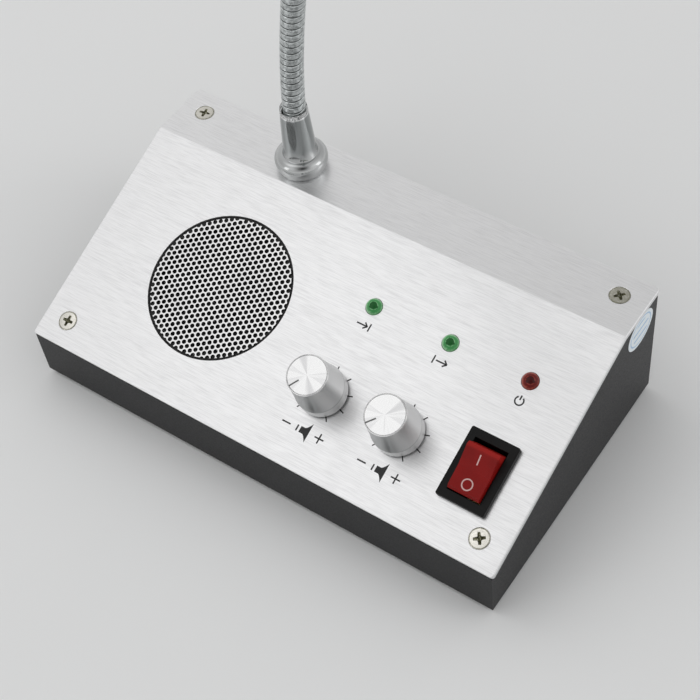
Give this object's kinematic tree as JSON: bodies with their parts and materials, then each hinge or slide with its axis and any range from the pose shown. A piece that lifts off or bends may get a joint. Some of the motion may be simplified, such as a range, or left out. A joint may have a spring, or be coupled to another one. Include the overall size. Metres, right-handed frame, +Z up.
{
  "type": "teller window intercom counter unit",
  "caption": "Wedge-shaped counter intercom with a brushed top panel, round loudspeaker grille, volume knobs, lamps, a rocker power switch and a microphone on a flexible neck.",
  "frame": {"origin": "on the desk, at the bottom centre of the box round the whole unit, under the middle of the housing", "axes": "+X to the right as the teller sees the panel, +Y away from the teller to the rear wall with the sockets, +Z up"},
  "size_m": [0.1608, 0.0898, 0.241],
  "materials": {
    "housing_paint": "satin dark grey powder coat",
    "panel_metal": "brushed, clear anodised",
    "knob_metal": "turned, clear anodised",
    "grille_metal": "satin light grey",
    "screw_metal": "nickel plated",
    "chrome": "polished",
    "neck_metal": "satin chrome spiral",
    "steel": "plain",
    "rubber": "matte black",
    "black_plastic": "satin black",
    "red_plastic": "dark red",
    "red_lens": "translucent red",
    "green_lens": "milky green",
    "cone_paper": "dark grey",
    "magnet": "dull ferrite",
    "coil_copper": "enamelled copper",
    "contact_brass": "plain",
    "board": "glass-fibre board, green",
    "chip_plastic": "moulded black",
    "sink_metal": "black anodised",
    "can_sleeve": "blue-black sleeve",
    "header_plastic": "off-white nylon",
    "wire_red": "PVC insulation"
  },
  "bodies": {
    "base": {"housing_tub": "housing_paint", "rubber_feet": "rubber", "top_panel": "panel_metal", "panel_screws": "screw_metal", "speaker_grille": "grille_metal", "grille_gasket": "rubber", "speaker_basket": "steel", "speaker_cone": "cone_paper", "speaker_dust_cap": "cone_paper", "voice_coil": "coil_copper", "speaker_front_plate": "steel", "speaker_magnet": "magnet", "speaker_yoke": "steel", "speaker_clamps": "steel", "clamp_nuts": "steel", "pot_cans": "steel", "pot_nuts": "steel", "led_in": "green_lens", "led_out": "green_lens", "led_power": "red_lens", "led_legs": "steel", "control_board": "board", "switch_frame": "black_plastic", "switch_terminals": "contact_brass", "neck_bell": "chrome", "neck_stud": "steel", "neck_washer": "steel", "neck_nut": "steel", "neck_base": "neck_metal", "main_board": "board", "board_screws": "steel", "heat_sink": "sink_metal", "amplifier_chip": "chip_plastic", "capacitors": "can_sleeve", "wire_headers": "header_plastic", "power_inlet": "black_plastic", "line_sockets": "black_plastic", "socket_nuts": "steel", "speaker_wires": "wire_red", "switch_wires": "wire_red"},
    "knob_in_body": {"knob_in": "knob_metal", "pot_shaft_in": "steel"},
    "knob_out_body": {"knob_out": "knob_metal", "pot_shaft_out": "steel"},
    "rocker_body": {"switch_rocker": "red_plastic", "switch_plunger": "black_plastic"},
    "contact_body": {"switch_contact": "contact_brass"},
    "neck_1": {"neck_length_1": "neck_metal"},
    "neck_2": {"neck_length_2": "neck_metal"},
    "neck_3": {"neck_length_3": "neck_metal"},
    "neck_4": {"neck_length_4": "neck_metal"},
    "neck_5": {"neck_length_5": "neck_metal"},
    "neck_6": {"neck_length_6": "neck_metal"},
    "neck_7": {"neck_length_7": "neck_metal"},
    "neck_8": {"neck_length_8": "neck_metal", "mic_adapter": "chrome", "mic_barrel": "black_plastic", "mic_cap": "black_plastic", "mic_capsule": "steel", "capsule_ring": "rubber"}
  },
  "joints": [
    {"name": "knob_in_turn", "type": "hinge", "parent": "base", "child": "knob_in_body", "pos_m": [0.0123, -0.02407, 0.0329], "axis": [0, 0.3467, -0.938], "range_deg": [-2, 298]},
    {"name": "knob_out_turn", "type": "hinge", "parent": "base", "child": "knob_out_body", "pos_m": [0.0377, -0.02407, 0.0329], "axis": [0, 0.3467, -0.938], "range_deg": [-11, 289]},
    {"name": "power_rocker", "type": "hinge", "parent": "base", "child": "rocker_body", "pos_m": [0.0631, -0.02252, 0.02814], "axis": [-1, 0, 0], "range_deg": [0, 26]},
    {"name": "power_contact", "type": "hinge", "parent": "base", "child": "contact_body", "pos_m": [0.0631, -0.01989, 0.02101], "axis": [-1, 0, 0], "range_deg": [-17, 0]},
    {"name": "neck_forward_1", "type": "hinge", "parent": "base", "child": "neck_1", "pos_m": [-0.03275, 0.0339, 0.06759], "axis": [0.9949, 0, -0.1011], "range_deg": [-22, 22]},
    {"name": "neck_sideways_1", "type": "hinge", "parent": "neck_1", "child": "neck_2", "pos_m": [-0.03081, 0.0339, 0.08669], "axis": [0, 1, 0], "range_deg": [-22, 22]},
    {"name": "neck_forward_2", "type": "hinge", "parent": "neck_2", "child": "neck_3", "pos_m": [-0.02767, 0.0339, 0.10563], "axis": [0.9724, 0.0122, -0.2331], "range_deg": [-22, 22]},
    {"name": "neck_sideways_2", "type": "hinge", "parent": "neck_3", "child": "neck_4", "pos_m": [-0.02319, 0.03292, 0.12428], "axis": [0, 0.9848, 0.1736], "range_deg": [-22, 22]},
    {"name": "neck_forward_3", "type": "hinge", "parent": "neck_4", "child": "neck_5", "pos_m": [-0.0179, 0.02972, 0.14245], "axis": [0.9563, 0.0903, -0.2781], "range_deg": [-22, 22]},
    {"name": "neck_sideways_3", "type": "hinge", "parent": "neck_5", "child": "neck_6", "pos_m": [-0.01229, 0.02404, 0.15992], "axis": [0, 0.8988, 0.4384], "range_deg": [-22, 22]},
    {"name": "neck_forward_4", "type": "hinge", "parent": "neck_6", "child": "neck_7", "pos_m": [-0.00699, 0.01595, 0.1765], "axis": [0.9703, 0.1353, -0.2006], "range_deg": [-22, 22]},
    {"name": "neck_sideways_4", "type": "hinge", "parent": "neck_7", "child": "neck_8", "pos_m": [-0.00235, 0.00554, 0.19195], "axis": [0, 0.7431, 0.6691], "range_deg": [-22, 22]}
  ],
  "couplings": [
    {"joint": "power_contact", "follows": "power_rocker", "ratio": -0.61538},
    {"joint": "neck_forward_2", "follows": "neck_forward_1", "ratio": 1},
    {"joint": "neck_sideways_2", "follows": "neck_sideways_1", "ratio": 1},
    {"joint": "neck_forward_3", "follows": "neck_forward_1", "ratio": 1},
    {"joint": "neck_sideways_3", "follows": "neck_sideways_1", "ratio": 1},
    {"joint": "neck_forward_4", "follows": "neck_forward_1", "ratio": 1},
    {"joint": "neck_sideways_4", "follows": "neck_sideways_1", "ratio": 1}
  ]
}
